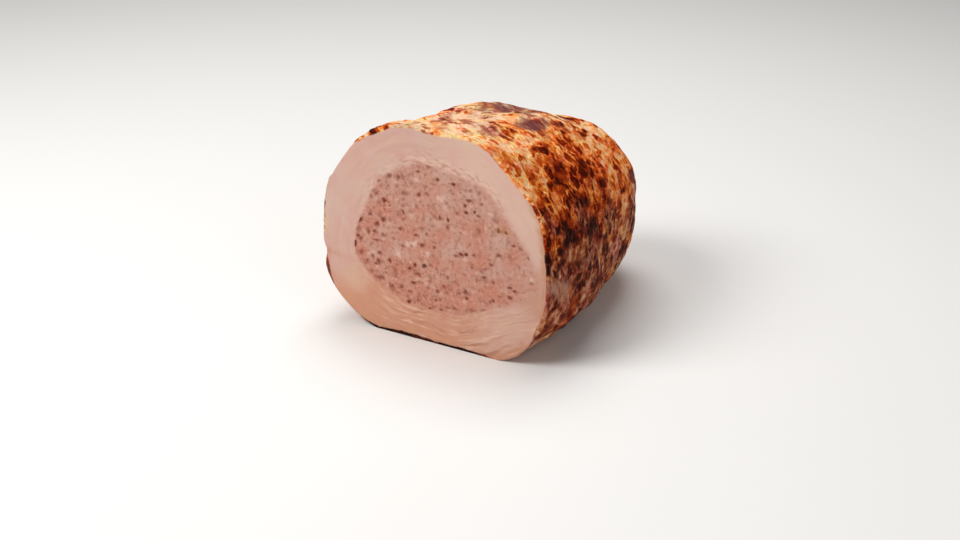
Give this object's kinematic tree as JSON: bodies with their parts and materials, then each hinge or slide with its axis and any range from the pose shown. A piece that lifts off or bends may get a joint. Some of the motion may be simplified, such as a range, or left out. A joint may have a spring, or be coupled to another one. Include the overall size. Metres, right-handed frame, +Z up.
{
  "type": "turkey breast roll",
  "caption": "Half of a roasted turkey breast roll, cut across: pale meat in a browned skin round a core of speckled stuffing.",
  "frame": {"origin": "on the ground below the middle of the roll's box", "axes": "+Z up; -Y is the way the cut end faces, so the roll runs along +Y to its round end; +X is to the right as the cut is looked at"},
  "size_m": [0.1468, 0.152, 0.1233],
  "materials": {
    "roast_meat": "browned, moist, lightly glossy",
    "stuffing": "fine, moist, satin"
  },
  "bodies": {
    "root": {"turkey_meat": "roast_meat", "stuffing": "stuffing"}
  },
  "joints": []
}
